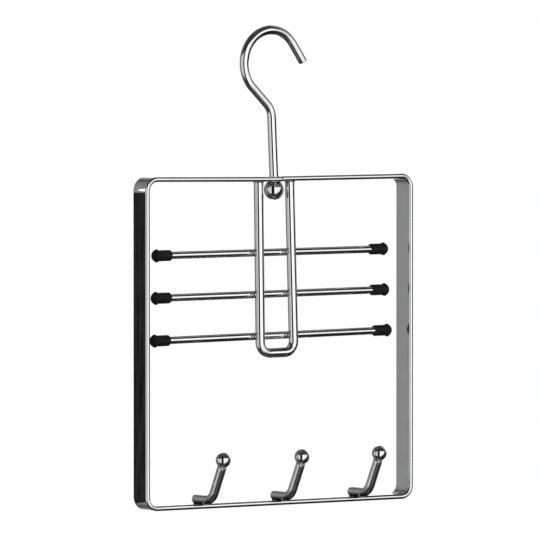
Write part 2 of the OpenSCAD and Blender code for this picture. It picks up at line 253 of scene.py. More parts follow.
# the hook and the ring set the place of all the rest, so their sizes come first
hookSize = {
    "wireR": 3.0, "drawnR": 2.96, "insideR": 18.7, "neckAngle": 46.5, "neckLong": 16.0, "neckR": 12.0,
    "stemLean": 2.7, "stemLong": 37.6, "stemRise": 1.3, "tipAngle": 35.0, "tipLong": 14.0,
    "holeX": -1.0, "ballR": 6.6, "ballSink": 1.2, "pastBall": 2.0, "cutRound": 0.35,
}
ringSize = {
    "wide": 216.0, "high": 216.0, "stripWide": 16.0, "stripThick": 3.2, "cornerR": 9.0,
    "seamX": 1.0, "seamDrop": 1.0, "seamStep": 0.4, "seamGap": 0.04, "endRound": 0.3,
    "holeR": 3.08, "dishR": 6.9, "edgeFull": 2.25,
}


def polar(angle):
    # (cos, sin) of an angle in degrees
    return np.array([math.cos(math.radians(angle)), math.sin(math.radians(angle))])


def hookPoints(h):
    # key points of the hook's centre line in X and Z, from the rail seat down to the ring
    lean, neck = h["stemLean"], h["neckAngle"]
    radius = h["insideR"] + h["wireR"]
    centre = np.array([0.0, -h["insideR"]])
    neckTop = centre - radius * polar(neck)
    neckFoot = neckTop + h["neckLong"] * polar(neck - 90)
    neckCentre = neckFoot - h["neckR"] * polar(neck)
    stemTop = neckCentre + h["neckR"] * polar(lean)
    stemFoot = stemTop + h["stemLong"] * polar(lean - 90)
    leanCentre = stemFoot - h["neckR"] * polar(lean)
    return {
        "radius": radius, "centre": centre, "neckTop": neckTop, "neckFoot": neckFoot,
        "neckCentre": neckCentre, "stemTop": stemTop, "stemFoot": stemFoot, "leanCentre": leanCentre,
        "stemX": leanCentre[0] + h["neckR"], "holeTop": leanCentre[1] - h["stemRise"],
    }


hookAt = hookPoints(hookSize)
stemX = hookAt["stemX"]
ringX = stemX - hookSize["holeX"]
leftRun = ringSize["wide"] / 2 - ringSize["cornerR"] + ringSize["seamX"]
rightRun = ringSize["wide"] / 2 - ringSize["cornerR"] - ringSize["seamX"]
leftFall = math.degrees(math.atan(ringSize["seamDrop"] / leftRun))
rightFall = math.degrees(math.atan((ringSize["seamDrop"] - ringSize["seamStep"]) / rightRun))
slope = math.tan(math.radians(leftFall))
ringTop = hookAt["holeTop"] + (leftRun - ringSize["seamX"] + hookSize["holeX"]) * slope
ringBottom = ringTop - ringSize["high"]
underHole = hookAt["holeTop"] - ringSize["stripThick"]
shelf = ringBottom + ringSize["stripThick"]
ballZ = underHole - hookSize["ballR"] + hookSize["ballSink"]
print("sizes worked out: ring middle", round(ringX, 4), "ring top", round(ringTop, 4))


def newFinish(name):
    # a material, its node tree and its main shader
    finish = bpy.data.materials.new(name)
    finish.use_nodes = True
    tree = finish.node_tree
    return finish, tree, tree.nodes["Principled BSDF"]


def addNode(tree, kind, **settings):
    # a node with its settings, each set under its own name
    node = tree.nodes.new(kind)
    for key, value in settings.items():
        setattr(node, key, value)
    return node


def scaledPlace(tree, source, scale):
    # the piece's own coordinates, stretched by a number for each axis
    mapping = addNode(tree, "ShaderNodeMapping")
    mapping.inputs["Scale"].default_value = scale
    tree.links.new(source, mapping.inputs["Vector"])
    return mapping.outputs["Vector"]


def grainNoise(tree, place, detail=3.0):
    # a soft noise at scale 1 on a place that is already stretched; each finer octave is 0.55 as strong
    noise = addNode(tree, "ShaderNodeTexNoise")
    noise.inputs["Scale"].default_value = 1.0
    noise.inputs["Detail"].default_value = detail
    noise.inputs["Roughness"].default_value = 0.55
    tree.links.new(place, noise.inputs["Vector"])
    return noise.outputs["Fac"]


def between(tree, value, low, high, fromLow=0.3, fromHigh=0.7):
    # carries a value evenly from one range to another; a noise lies mostly between 0.3 and 0.7
    ranged = addNode(tree, "ShaderNodeMapRange")
    ranged.inputs["From Min"].default_value = fromLow
    ranged.inputs["From Max"].default_value = fromHigh
    ranged.inputs["To Min"].default_value = low
    ranged.inputs["To Max"].default_value = high
    tree.links.new(value, ranged.inputs["Value"])
    return ranged.outputs["Result"]


def tinted(tree, value, dark, light):
    # a colour between two, by a noise value
    ramp = addNode(tree, "ShaderNodeValToRGB")
    ramp.color_ramp.elements[0].position = 0.3
    ramp.color_ramp.elements[0].color = (*dark, 1)
    ramp.color_ramp.elements[1].position = 0.7
    ramp.color_ramp.elements[1].color = (*light, 1)
    tree.links.new(value, ramp.inputs["Fac"])
    return ramp.outputs["Color"]


def bumpOf(tree, height, distance, below=None):
    # raises the surface by distance times height, on top of the bump below it
    bump = addNode(tree, "ShaderNodeBump")
    bump.inputs["Distance"].default_value = distance
    tree.links.new(height, bump.inputs["Height"])
    if below is not None:
        tree.links.new(below, bump.inputs["Normal"])
    return bump.outputs["Normal"]


def placeSource(tree, fromAttribute):
    # coordinates that follow the wire, or the piece's plain object coordinates
    if fromAttribute:
        node = addNode(tree, "ShaderNodeAttribute", attribute_name="along")
        return node.outputs["Vector"]
    return addNode(tree, "ShaderNodeTexCoord").outputs["Object"]


def withPaintedShade(tree, colour, place, clouds, paintedShade):
    # painted shade: colour times a level that climbs to 1 as reach grows, where reach is the distance from
    # the shaded spot's centre, or the height where it has none, plus blur times the clouds
    if "centre" in paintedShade:
        apart = addNode(tree, "ShaderNodeVectorMath", operation="DISTANCE")
        tree.links.new(place, apart.inputs[0])
        apart.inputs[1].default_value = [v * millimetre for v in paintedShade["centre"]]
        reach = apart.outputs["Value"]
    else:
        split = addNode(tree, "ShaderNodeSeparateXYZ")
        tree.links.new(place, split.inputs[0])
        reach = split.outputs["Z"]
    blur = addNode(tree, "ShaderNodeMath", operation="MULTIPLY_ADD")
    tree.links.new(clouds, blur.inputs[0])
    blur.inputs[1].default_value = paintedShade["blur"] * millimetre
    tree.links.new(reach, blur.inputs[2])
    start, stop = paintedShade["from"] * millimetre, paintedShade["to"] * millimetre
    level = between(tree, blur.outputs[0], paintedShade["level"], 1.0, start, stop)
    scaled = addNode(tree, "ShaderNodeVectorMath", operation="SCALE")
    tree.links.new(colour, scaled.inputs[0])
    tree.links.new(level, scaled.inputs["Scale"])
    return scaled.outputs["Vector"]


def chromeFinish(name, look):
    # bright plate: long fine draw marks, a slow wave in the metal, faint clouding and, where the look asks
    # for it, painted shade
    finish, tree, shader = newFinish(name)
    shader.inputs["Metallic"].default_value = 1.0
    onPiece = placeSource(tree, look["onWire"])
    inSpace = placeSource(tree, False)
    marks = grainNoise(tree, scaledPlace(tree, onPiece, look["markScale"]))
    waves = grainNoise(tree, scaledPlace(tree, inSpace, look["waveScale"]), detail=1.0)
    clouds = grainNoise(tree, scaledPlace(tree, inSpace, look["cloudScale"]), detail=4.0)
    colour = tinted(tree, clouds, look["dark"], look["light"])
    # painted shade and dark reflection darken the colour near where parts meet
    if "paintedShade" in look:
        colour = withPaintedShade(tree, colour, inSpace, clouds, look["paintedShade"])
    tree.links.new(colour, shader.inputs["Base Color"])
    tree.links.new(between(tree, marks, *look["rough"]), shader.inputs["Roughness"])
    waved = bumpOf(tree, waves, look["waveHigh"])
    tree.links.new(bumpOf(tree, marks, look["markHigh"], waved), shader.inputs["Normal"])
    return finish


def rubberFinish(name, look):
    # soft black rubber: fine grain, faint bloom and lighter rubbed places
    finish, tree, shader = newFinish(name)
    shader.inputs["Specular IOR Level"].default_value = look["gloss"]
    inSpace = placeSource(tree, False)
    grain = grainNoise(tree, scaledPlace(tree, inSpace, look["grainScale"]), detail=5.0)
    bloom = grainNoise(tree, scaledPlace(tree, inSpace, look["bloomScale"]), detail=3.0)
    tree.links.new(tinted(tree, bloom, look["dark"], look["light"]), shader.inputs["Base Color"])
    tree.links.new(between(tree, bloom, *look["rough"]), shader.inputs["Roughness"])
    tree.links.new(bumpOf(tree, grain, look["grainHigh"]), shader.inputs["Normal"])
    return finish


# scales are waves a metre, heights are in metres and each pair is a range; the painted shade spots are in
# millimetres and darken the plate as painted shade and dark reflection: on the wires below a height, where
# the small hooks' feet are welded, on the ring inside the stop ball's dish, and on the stop ball where it
# meets the dish
wireLook = {
    "onWire": True, "markScale": (2600, 2600, 26), "waveScale": (150, 150, 150), "cloudScale": (90, 90, 90),
    "dark": (0.86, 0.865, 0.87), "light": (0.92, 0.922, 0.925), "rough": (0.025, 0.055),
    "markHigh": 0.0000003, "waveHigh": 0.000006,
    # painted shade and dark reflection on the small hooks' feet, below this height
    "paintedShade": {"from": shelf + 1.7, "to": shelf + 3.5, "blur": 0.5, "level": 0.12},
}
plainLook = {key: value for key, value in wireLook.items() if key != "paintedShade"}
stripLook = {
    **plainLook, "onWire": False, "markScale": (22, 1500, 22), "rough": (0.025, 0.055),
    "markHigh": 0.0000006, "waveHigh": 0.000006,
    # painted shade and dark reflection on the ring inside the stop ball's dish
    "paintedShade": {"centre": (stemX, 0, ballZ), "from": 7.1, "to": 7.5, "blur": 0.2, "level": 0.06},
}
ballLook = {
    **plainLook, "onWire": False, "markScale": (900, 900, 900), "rough": (0.03, 0.06), "markHigh": 0.0000006,
    "waveHigh": 0.000004,
    # painted shade and dark reflection on the stop ball where it meets the dish
    "paintedShade": {"centre": (stemX, 0, underHole), "from": 4.4, "to": 5.8, "blur": 0.6, "level": 0.1},
}
# welded metal: its own rougher grey, darkened further as painted shade where the bars meet the legs and the
# legs meet the strip
weldAndShadeLook = {
    **plainLook, "onWire": False, "markScale": (700, 700, 700),
    "dark": (0.07, 0.07, 0.073), "light": (0.3, 0.3, 0.305),
    "rough": (0.12, 0.26), "markHigh": 0.00002, "waveHigh": 0.00004, "waveScale": (420, 420, 420),
}
# the small hooks' foot welds: dark welded metal, with painted shade and dark reflection under the feet
footWeldAndShadeLook = {
    **weldAndShadeLook, "dark": (0.01, 0.01, 0.011), "light": (0.09, 0.09, 0.094),
    "rough": (0.22, 0.45), "markHigh": 0.00004,
}
rubberLook = {
    "gloss": 0.2, "grainScale": (3200, 3200, 3200), "bloomScale": (260, 260, 260),
    "dark": (0.006, 0.006, 0.0065), "light": (0.013, 0.013, 0.014), "rough": (0.42, 0.6),
    "grainHigh": 0.00004,
}
wireChrome = chromeFinish("wireChrome", wireLook)
stripChrome = chromeFinish("stripChrome", stripLook)
ballChrome = chromeFinish("ballChrome", ballLook)
weldAndShadeChrome = chromeFinish("weldAndShadeChrome", weldAndShadeLook)
footWeldAndShade = chromeFinish("footWeldAndShade", footWeldAndShadeLook)
capRubber = rubberFinish("capRubber", rubberLook)
print("finishes made")


def makeSwivelHook(h, at):
    # a round wire along tip, big arc, neck, small arc, leaning stem and the plumb end in the ball
    tip = at["centre"] + at["radius"] * polar(h["tipAngle"])
    tipEnd = tip + h["tipLong"] * polar(h["tipAngle"] - 90)
    low = (stemX, ballZ - h["pastBall"])
    lift = (stemX, at["leanCentre"][1])
    parts = [
        linePart(tipEnd, tip),
        arcPart(at["centre"], at["radius"], h["tipAngle"], 180 + h["neckAngle"]),
        linePart(at["neckTop"], at["neckFoot"]),
        arcPart(at["neckCentre"], h["neckR"], h["neckAngle"], h["stemLean"]),
        linePart(at["stemTop"], at["stemFoot"]),
        arcPart(at["leanCentre"], h["neckR"], h["stemLean"], 0, step=0.5),
        linePart(lift, low),
    ]
    shell = roundWire(parts, h["drawnR"], alongX, h["cutRound"], h["cutRound"], sides=72)
    return makePiece("swivelHook", [shell], "hook", ["swivel_hook"], wireChrome)


def ballProfile(radius, rows=64):
    # half a circle from pole to pole
    a = np.linspace(0, math.pi, rows + 2)[1:-1]
    return np.stack([radius * np.cos(a), radius * np.sin(a)], axis=-1)


def makeBall(name, radius, centre, body, node):
    # the half circle turned about Z, with its poles set exactly
    shell = revolved(ballProfile(radius), sides=96)
    points, faces, along = shell
    points[-2:] = [[0, 0, radius], [0, 0, -radius]]
    shell = (points + np.array(centre), faces, along)
    return makePiece(name, [shell], body, [node], ballChrome)


makeSwivelHook(hookSize, hookAt)
makeBall("stopBall", hookSize["ballR"], (stemX, 0, ballZ), "hook", "stop_ball")
print("swivel hook made")


def stripSection(s, flatSteps=17, curveSteps=25):
    # a spine from -w to w across the strip and the way that each point faces, over the outer flat,
    # one half-round edge, the inner flat and the other edge
    w = (s["stripWide"] - s["stripThick"]) / 2
    flat = np.linspace(-w, w, flatSteps)
    curve = np.linspace(0, math.pi, curveSteps)
    spine = np.concatenate([flat[:-1], np.full(curveSteps - 1, w), -flat[:-1], np.full(curveSteps - 1, -w)])
    zero = np.zeros(flatSteps - 1)
    facing = np.concatenate([zero, curve[:-1], zero + math.pi, curve[:-1] + math.pi])
    return spine, facing


def ringRun(s):
    # clockwise from the seam's right side round the ring to the seam's left side
    mid = s["cornerR"] - s["stripThick"] / 2
    halfX, high = s["wide"] / 2 - s["cornerR"], ringTop - s["cornerR"]
    low = ringBottom + s["cornerR"]
    right, left = ringX + halfX, ringX - halfX
    seam, gap = ringX + s["seamX"], s["seamGap"] / 2
    rightTop = np.array([right, high]) + mid * polar(90 + rightFall)
    leftTop = np.array([left, high]) + mid * polar(90 - leftFall)
    rightSeam = (seam + gap, rightTop[1] - (rightTop[0] - seam) * math.tan(math.radians(rightFall)))
    leftSeam = (seam - gap, leftTop[1] - (seam - leftTop[0]) * math.tan(math.radians(leftFall)))
    return [
        linePart(rightSeam, rightTop, 1.5),
        arcPart((right, high), mid, 90 + rightFall, 0),
        linePart((right + mid, high), (right + mid, low)),
        arcPart((right, low), mid, 0, -90),
        linePart((right, low - mid), (left, low - mid)),
        arcPart((left, low), mid, 270, 180),
        linePart((left - mid, low), (left - mid, high)),
        arcPart((left, high), mid, 180, 90 - leftFall),
        linePart(leftTop, leftSeam, 1.5),
    ]


def fuller(share, full):
    # sign(share) * |share| ** (2 / full): 2 keeps the half round, more makes it flatter in its middle
    return np.sign(share) * np.abs(share) ** (2 / full)


def sweptStrip(s):
    # point = centre line + (half thickness - shrink) * facing + spine across the strip
    rows, ways, far, less = roundedEnds(*joinedRun(ringRun(s)), s["endRound"], s["endRound"], steps=6)
    centres, out, side = planeRun(rows, ways, alongX)
    spine, facing = stripSection(s)
    half = (s["stripThick"] / 2 - less)[:, None, None]
    across = spine[None, :, None] * side[:, None]
    outShare, sideShare = (fuller(wave(facing), s["edgeFull"])[None, :, None] for wave in (np.cos, np.sin))
    rings = centres[:, None] + across + half * (outShare * out[:, None] + sideShare * side[:, None])
    along = np.stack(np.broadcast_arrays(spine[None, :], outShare[..., 0], far[:, None]), -1)
    return closedRings(rings, along)


def cutAway(piece, cutters):
    # takes the cutters out of the piece for good
    for cutter in cutters:
        cut = piece.modifiers.new("cut", "BOOLEAN")
        cut.object, cut.operation, cut.solver = cutter, "DIFFERENCE", "EXACT"
    bpy.context.view_layer.update()
    shown = piece.evaluated_get(bpy.context.evaluated_depsgraph_get())
    carved = bpy.data.meshes.new_from_object(shown)
    print("carved from", len(piece.data.polygons), "to", len(carved.polygons), "faces")
    piece.modifiers.clear()
    piece.data = carved
    for cutter in cutters:
        bpy.data.objects.remove(cutter)


def cutterOf(name, shell):
    # a loose mesh with its faces outwards
    points, faces, _ = shell
    if signedVolume(points, faces) < 0:
        faces = [face[::-1] for face in faces]
    mesh = bpy.data.meshes.new(name)
    mesh.from_pydata((points * millimetre).tolist(), [], faces)
    mesh.polygons.foreach_set("use_smooth", np.ones(len(faces), bool))
    cutter = bpy.data.objects.new(name, mesh)
    scene.collection.objects.link(cutter)
    return cutter


def makeRing(s):
    # the swept strip less the stem's hole and the ball's dish
    ring = makePiece("stripRing", [sweptStrip(s)], "frame", ["frame_strip"], stripChrome)
    middle = np.array([stemX, 0, underHole + s["stripThick"] / 2])
    past = 2 * s["stripThick"]
    hole = revolved(np.array([[-past, s["holeR"]], [past, s["holeR"]]]))
    hole = shifted(hole, lambda p: p + middle)
    dish = revolved(ballProfile(s["dishR"]))
    dish = shifted(dish, lambda p: p + np.array([stemX, 0, ballZ]))
    cutAway(ring, [cutterOf("holeCutter", hole), cutterOf("dishCutter", dish)])
    ring.data.set_sharp_from_angle(angle=sharpAngle)
    return ring


makeRing(ringSize)
print("strip ring made")


loopSize = {
    "x": -0.8, "wireR": 3.15, "topWide": 25.1, "bottomWide": 26.9, "long": 112.1, "cornerR": 7.3,
    "turn": 0.6, "tip": 0.9, "intoRing": 1.0, "fillet": 0.5, "lump": 0.04,
}


def loopNumbers(s):
    # splay = atan of half the widening over the legs' height; the bends' centres and tops follow from it
    splay = math.atan((s["bottomWide"] - s["topWide"]) / 2 / (s["long"] - s["cornerR"]))
    centreX = s["bottomWide"] / 2 - s["cornerR"]
    centreZ = s["cornerR"] - s["long"]
    bendTop = (centreX + s["cornerR"] * math.cos(splay), centreZ + s["cornerR"] * math.sin(splay))
    legLong = (-bendTop[1] + s["intoRing"]) / math.cos(splay)
    return splay, centreX, centreZ, bendTop, legLong


splay, loopBendX, loopBendZ, bendTop, legLong = loopNumbers(loopSize)


def onLoop(points):
    # from the loop's own frame, whose origin is where its middle meets the ring
    return moved(points, -loopSize["tip"], -loopSize["turn"], (ringX + loopSize["x"], 0, underHole))


def legHalf(depth):
    # half the distance between the legs' centre lines at a depth below the ring
    return loopSize["bottomWide"] / 2 - (-bendTop[1] - depth) * math.tan(splay) \
        - loopSize["cornerR"] * (1 - math.cos(splay))


def loopShell(s):
    # a round wire down one leg, round a bend, along the bottom, round the other bend and up
    turn = math.degrees(splay)
    topX, topZ = bendTop[0] - legLong * math.sin(splay), bendTop[1] + legLong * math.cos(splay)
    parts = [
        linePart((-topX, topZ), (-bendTop[0], bendTop[1])),
        arcPart((-loopBendX, loopBendZ), s["cornerR"], 180 - turn, 270),
        linePart((-loopBendX, -s["long"]), (loopBendX, -s["long"])),
        arcPart((loopBendX, loopBendZ), s["cornerR"], 270, 360 + turn),
        linePart(bendTop, (topX, topZ)),
    ]
    return shifted(roundWire(parts, s["wireR"], alongX), onLoop)


def lumpy(height, angle, size, seed):
    # a few waves round and along the bead
    return size * (np.sin(3 * angle + seed) * 0.5 + np.sin(5 * angle + 2.1 * seed + height * 2.0) * 0.3
                   + np.sin(2 * angle - 4.0 * height + seed) * 0.4)


def filletShell(s, side):
    # a hollow curve from the leg out to the ring's underside, closed inside the leg and inside the strip
    t = np.linspace(0, 1, 12)
    outward = s["wireR"] + s["fillet"] * 1.1 * t ** 2.2
    upward = -s["fillet"] + s["fillet"] * t
    start = [[-s["fillet"], s["wireR"] * 0.6], [-s["fillet"], s["wireR"] - 0.02]]
    stop = [[0.4, s["wireR"] + s["fillet"]], [0.4, s["wireR"] * 0.6]]
    profile = np.concatenate([start, np.stack([upward, outward], axis=-1), stop])
    shell = revolved(profile, lambda height, a: lumpy(height, a, s["lump"], side + 2.0))
    return shifted(shell, lambda p: onLoop(p + np.array([side * legHalf(0), 0, 0])))


makePiece("wireLoop", [loopShell(loopSize)], "frame", ["loop_wire"], wireChrome)
makePiece("legWelds", [filletShell(loopSize, side) for side in (-1, 1)], "frame",
          ["loop_welds"], weldAndShadeChrome)
print("wire loop made")


rowNames = ("top", "middle", "bottom")
barSize = {
    "wireR": 2.4, "pitch": 27.3, "overBend": 1.4, "capGap": (9.85, 9.1, 7.6), "shift": (0.4, 0.0, 0.0),
    "rise": (-0.2, -0.05, 0.15), "sink": 0.3, "beadR": 2.4, "lump": 0.05,
}
capSize = {
    "bodyR": 3.6, "long": 11.0, "domeHigh": 3.2, "rim": 0.55, "beadR": 0.3, "chamfer": 1.0, "floor": 0.5,
    "socketR": 2.41, "beadArc": (62, -70), "neckLong": 1.5,
    "flash": 0.035, "flashAt": -0.1, "flashWide": 0.45,
}


def barDepth(i):
    # depth below the ring: the bottom bar lies just over the bends, the others a pitch apart
    return loopSize["long"] - loopSize["cornerR"] - barSize["overBend"] - barSize["wireR"] \
        - (2 - i) * barSize["pitch"]


def barLong(i):
    # what is left of the ring's width after its sides, the gaps to the caps and the caps' ends
    return ringSize["wide"] - 2 * (ringSize["stripThick"] + barSize["capGap"][i] + capSize["domeHigh"]
                                   + capSize["floor"])


def onBar(i):
    # from a bar's own frame, with its middle at the origin and its wire along X
    behind = loopSize["wireR"] + barSize["wireR"] - barSize["sink"]

    def place(points):
        points = moved(points + np.array([barSize["shift"][i], 0, 0]), 0, -barSize["rise"][i])
        return onLoop(points + np.array([0, behind, -barDepth(i)]))
    return place


def beadShell(i, side):
    # a ball of squeezed-out metal with a few waves in it, half hidden in the two wires
    def lumps(height, angle):
        # this bead's own waves
        return lumpy(height, angle, barSize["lump"], 3 * i + side)
    shell = revolved(ballProfile(barSize["beadR"], 40), lumps)
    at = np.array([side * legHalf(barDepth(i)), loopSize["wireR"] - barSize["sink"] / 2, -barDepth(i)])
    return shifted(shell, lambda p: onLoop(p + at))


def capProfile(s):
    # dome, mould bead, neck, body, rounded lip and the socket's wall, as height along the cap and radius
    rimR = s["bodyR"] + s["rim"]
    domeR = (rimR ** 2 + s["domeHigh"] ** 2) / (2 * s["domeHigh"])
    domeAngle = math.acos((domeR - s["domeHigh"]) / domeR)
    a = np.linspace(0, domeAngle, 26)[1:-1]
    dome = np.stack([s["domeHigh"] - domeR + domeR * np.cos(a), domeR * np.sin(a)], axis=-1)
    b = np.radians(np.linspace(*s["beadArc"], 12))
    beadAt = rimR - s["beadR"] / 2
    bead = np.stack([s["beadR"] * np.sin(b), beadAt + s["beadR"] * np.cos(b)], axis=-1)
    t = np.linspace(0, 1, 10)[1:]
    neckFrom = bead[-1]
    neckR = neckFrom[1] + (s["bodyR"] - neckFrom[1]) * (1 - (1 - t) ** 2)
    neck = np.stack([neckFrom[0] - s["neckLong"] * t, neckR], axis=-1)
    bodyHigh = np.linspace(neck[-1, 0], -s["long"] + s["chamfer"], 8)[1:]
    body = np.stack([bodyHigh, np.full(7, s["bodyR"])], axis=-1)
    c = np.linspace(0, math.pi / 2, 9)[1:]
    lipHigh = -s["long"] + s["chamfer"] * (1 - np.sin(c))
    lip = np.stack([lipHigh, s["bodyR"] - s["chamfer"] * (1 - np.cos(c))], axis=-1)
    socket = np.array([[-s["long"] + 0.1, s["socketR"]], [-s["floor"], s["socketR"]], [-s["floor"], 0.6]])
    return np.concatenate([dome, bead, neck, body, lip, socket])


def capShell(i, side):
    # the profile turned about the bar, with a faint wave of flash on the mould bead
    def flash(height, angle):
        # a bell round the rim's height times two waves round the cap
        near = np.exp(-((height - capSize["flashAt"]) / capSize["flashWide"]) ** 2)
        return near * capSize["flash"] * (np.sin(7 * angle + i) + 0.6 * np.sin(11 * angle + 2 * side))
    points, faces, along = revolved(capProfile(capSize), flash, sides=72)
    turned = np.stack([side * points[:, 2], points[:, 1], points[:, 0]], axis=-1)
    turned[:, 0] += side * (barLong(i) / 2 + capSize["floor"])
    if side < 0:
        faces = [face[::-1] for face in faces]
    return onBar(i)(turned), faces, along


for i, rowName in enumerate(rowNames):
    half = barLong(i) / 2
    bar = shifted(roundWire([linePart((-half, 0), (half, 0), 4.0)], barSize["wireR"], alongX), onBar(i))
    makePiece(rowName + "Bar", [bar], "frame", [rowName + "_bar"], wireChrome)
    makePiece(rowName + "BarWelds", [beadShell(i, side) for side in (-1, 1)], "frame",
              [rowName + "_bar_welds"], weldAndShadeChrome)
    for side, sideName in ((-1, "Left"), (1, "Right")):
        makePiece(rowName + sideName + "Cap", [capShell(i, side)], "frame",
                  [rowName + "_" + sideName.lower() + "_cap"], capRubber)
print("cross bars made")


smallHookSize = {
    "wireR": 3.05, "pitch": 63.0, "footRear": 2.2, "footReach": 17.2, "armLean": 27.0, "bendR": 10.0,
    "armLong": 25.0, "endRound": 1.6, "ballR": 4.9, "ballSink": 0.3, "ballOffset": 0.9, "footSink": 0.2,
    "beadR": 3.1, "beadLong": 8.4, "beadHigh": 1.9, "beadY": 2.4, "lump": 0.05,
}


def smallHookNumbers(s):
    # the arm leaves the bend at its lean, and the ball sits on its end, a little to the rear
    footZ = shelf + s["wireR"] - s["footSink"]
    tangent = s["bendR"] * math.tan(math.radians(90 - s["armLean"]) / 2)
    armWay = -polar(90 - s["armLean"]) * np.array([1, -1])
    armEnd = np.array([-s["footReach"], 0]) + s["armLong"] * armWay
    ballAlong = s["ballR"] - s["ballSink"]
    armRear = polar(s["armLean"])
    return footZ, tangent, armWay, armEnd, armEnd + ballAlong * armWay + s["ballOffset"] * armRear


footZ, footTangent, armWay, armEnd, tipBallAt = smallHookNumbers(smallHookSize)


def smallHookShell(s, x):
    # foot, bend and arm in Y and Z; the foot's rear end is rounded
    bendY = footTangent - s["footReach"]
    armStart = np.array([-s["footReach"], 0]) + footTangent * armWay
    parts = [
        linePart((s["footRear"], 0), (bendY, 0)),
        arcPart((bendY, s["bendR"]), s["bendR"], -90, -90 - (90 - s["armLean"])),
        linePart(armStart, armEnd),
    ]
    shell = roundWire(parts, s["wireR"], alongY, s["endRound"], 0.3)
    return shifted(shell, lambda p: p + np.array([x, 0, footZ]))


def nuggetShell(s, x, seed):
    # a low uneven bead under the foot: an ellipsoid whose lower half is in the strip
    points, faces, along = revolved(ballProfile(1.0, 30), lambda height, a: lumpy(height, a, s["lump"], seed))
    size = np.array([s["beadR"], s["beadLong"] / 2, s["beadHigh"]])
    return points * size + np.array([x, -s["beadY"], shelf]), faces, along


for i, sideName in enumerate(("left", "middle", "right")):
    x = ringX + (i - 1) * smallHookSize["pitch"]
    makePiece(sideName + "SmallHook", [smallHookShell(smallHookSize, x)], "frame",
              [sideName + "_hook_wire"], wireChrome)
    makeBall(sideName + "SmallBall", smallHookSize["ballR"], (x, tipBallAt[0], footZ + tipBallAt[1]), "frame",
             sideName + "_hook_ball")
    makePiece(sideName + "FootWeld", [nuggetShell(smallHookSize, x, 1.7 * i)], "frame",
              [sideName + "_hook_weld"], footWeldAndShade)
print("small hooks made")


studioLook = {
    "diffuse": 0.75,      # level of the room on matt surfaces
    "ceiling": (0.017, 0.062), "ground": (0.000, 0.059),   # at the horizon and straight up or down
    "horizonSoft": 10,    # degrees that the one fades into the other over, each way
    "floorDrop": 0.45, "floorWide": 1.45,   # metres below the origin, and the radius
    "floorColour": (0.9, 0.9, 0.9), "floorRough": 0.9,
    "lampPlace": (-1.0, -1.2, 1.6), "lampAim": (0, 0, -0.2), "lampWide": 1.4, "lampPower": 14.0,
}
# upright cards just behind the ring's left side, which its outer face and rear edge reflect; each has
# its outline in X and Z, in millimetres, and the range of its level
cardsLook = {
    "y": 12.0, "streakScale": (700, 1, 24),
    "cards": {
        "darkCard": {
            "outline": [(-119, -314), (-102.5, -306), (-102.5, -102.1), (-119, -102.4)],
            "level": (0.003, 0.032),
        },
        "whiteCard": {
            "outline": [(-118.6, -101.5), (-114, -101.2), (-111.4, -100.0), (-113.5, -97.6), (-118.6, -95.5)],
            "level": (1.3, 1.3),
        },
    },
}
# the studio's panels, later ones over earlier ones: "from" and "to" are degrees round from the camera
# towards image right; "low" and "high" are its edges in degrees above level, and "level" is its
# brightness, each at the first side and at the last; "soft" is how many degrees its sides, its low
# edge and its high edge fade over, each way; rightFloor's numbers are given, and the numbers of the
# others come from a fit of this studio to the greys of the photo
studioPanels = {
    "backLeftDark": {
        "from": -181.8, "to": -149.2, "low": (-40.0, -40.2), "high": (29.1, 39.9),
        "level": (0.443, 0.093), "soft": (3.0, 4.6, 3.9),
    },
    "backLeftGrey": {
        "from": -144.4, "to": -103.8, "low": (-38.5, -37.8), "high": (43.7, 40.6),
        "level": (0.103, 0.280), "soft": (3.3, 5.5, 3.8),
    },
    "leftFar": {
        "from": -101.4, "to": -55.3, "low": (-28.6, -29.0), "high": (11.2, 23.2),
        "level": (0.233, 0.833), "soft": (2.4, 8.3, 5.0),
    },
    "leftNear": {
        "from": -56.4, "to": -28.5, "low": (-32.2, -37.0), "high": (19.4, 28.9),
        "level": (0.478, 0.967), "soft": (2.4, 9.3, 6.1),
    },
    "slit": {
        "from": -23.6, "to": 3.0, "low": (-56.0, -55.4), "high": (61.7, 62.2),
        "level": (0.022, 0.000), "soft": (3.2, 4.0, 4.0),
    },
    "mainLeft": {
        "from": 8.7, "to": 39.4, "low": (-40.5, -36.2), "high": (31.8, 30.9),
        "level": (1.300, 1.300), "soft": (5.7, 20.6, 7.1),
    },
    "mainRight": {
        "from": 38.5, "to": 75.2, "low": (-40.0, -5.7), "high": (26.0, 29.3),
        "level": (0.845, 1.300), "soft": (2.6, 13.2, 6.8),
    },
    "rightGrey": {
        "from": 83.1, "to": 106.8, "low": (0.8, 5.0), "high": (28.2, 26.7),
        "level": (0.829, 0.387), "soft": (2.2, 2.4, 6.6),
    },
    "rightDark": {
        "from": 96.4, "to": 151.7, "low": (-61.4, -59.3), "high": (32.9, 31.8),
        "level": (0.000, 0.000), "soft": (3.8, 4.3, 3.8),
    },
    "rightFloor": {
        "from": 102.0, "to": 150.0, "low": (-36.0, -36.0), "high": (-6.0, -6.0),
        "level": (0.070, 0.040), "soft": (6.0, 8.0, 2.5),
    },
    "backRight": {
        "from": 131.6, "to": 151.4, "low": (-1.2, -1.3), "high": (55.3, 53.4),
        "level": (0.630, 0.674), "soft": (3.6, 1.7, 3.5),
    },
    "backWhite": {
        "from": 143.5, "to": 181.6, "low": (4.2, -2.4), "high": (22.3, 7.4),
        "level": (1.070, 1.300), "soft": (2.6, 2.4, 3.1),
    },
    "backWhiteLeft": {
        "from": -180.9, "to": -173.1, "low": (-39.5, -29.4), "high": (7.5, 21.7),
        "level": (1.300, 1.134), "soft": (2.3, 3.8, 3.1),
    },
}


